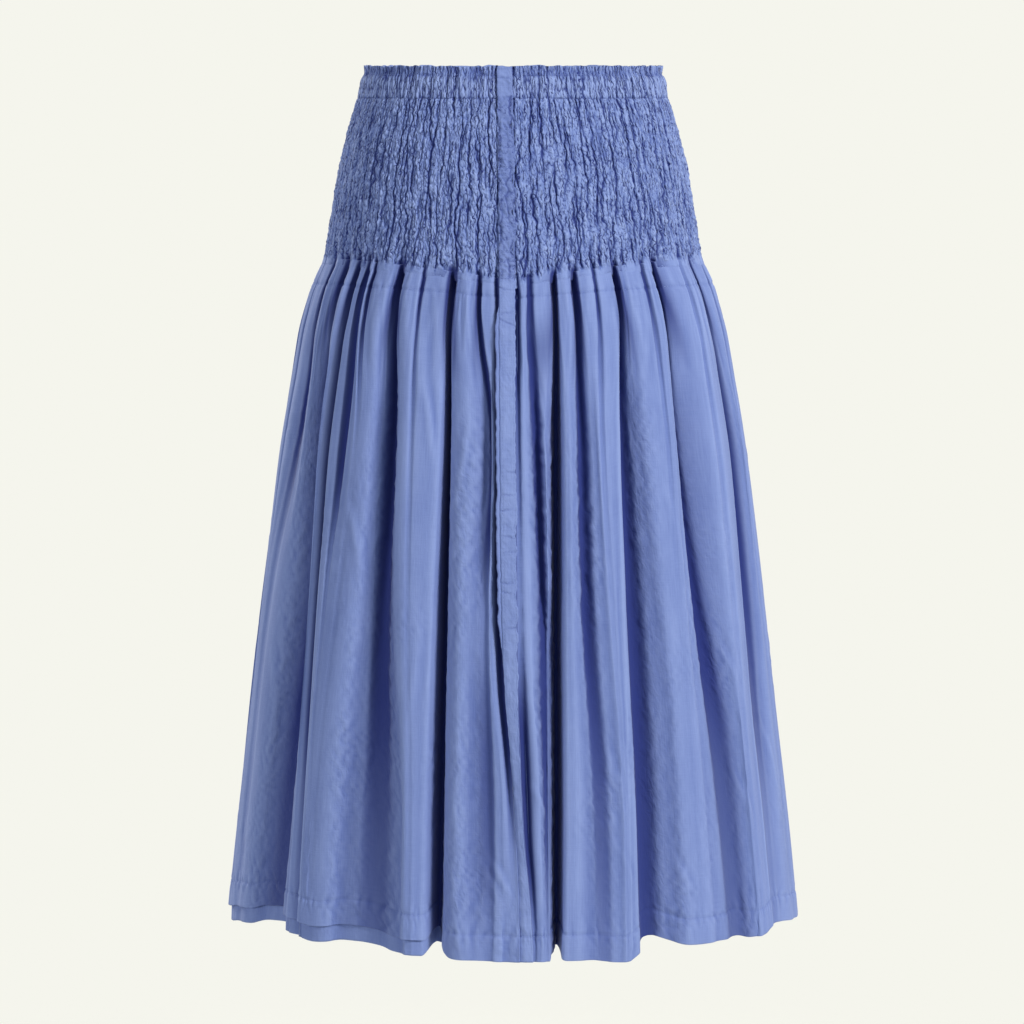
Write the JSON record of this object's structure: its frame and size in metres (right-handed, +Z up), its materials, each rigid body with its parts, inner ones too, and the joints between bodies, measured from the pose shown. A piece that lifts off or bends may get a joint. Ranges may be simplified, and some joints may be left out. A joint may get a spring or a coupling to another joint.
{
  "type": "pleated midi skirt",
  "caption": "Midi skirt with a ruffled elastic waist, a smocked hip yoke, a front placket and gathered pleats, hanging hollow and open as worn",
  "frame": {"origin": "centre of the waist, at the middle of the elastic casing", "axes": "+Z up along the hanging skirt, -Y towards the front with the placket, +X towards the skirt's right side as seen from the front"},
  "size_m": [0.5274, 0.43, 0.7975],
  "materials": {
    "cotton": "matt, washed, finely crinkled cotton in cornflower blue",
    "under_cotton": "matt, washed cotton of the same blue, for the layer under the hem"
  },
  "bodies": {
    "root": {"waist_casing_front_left": "cotton", "waist_casing_front_right": "cotton", "waist_casing_back": "cotton", "smocked_yoke_front_left": "cotton", "smocked_yoke_front_right": "cotton", "smocked_yoke_back": "cotton", "skirt_front_left": "cotton", "skirt_front_right": "cotton", "skirt_back": "cotton", "placket_band": "cotton", "placket_under_band": "cotton", "second_layer_left": "under_cotton"}
  },
  "joints": []
}
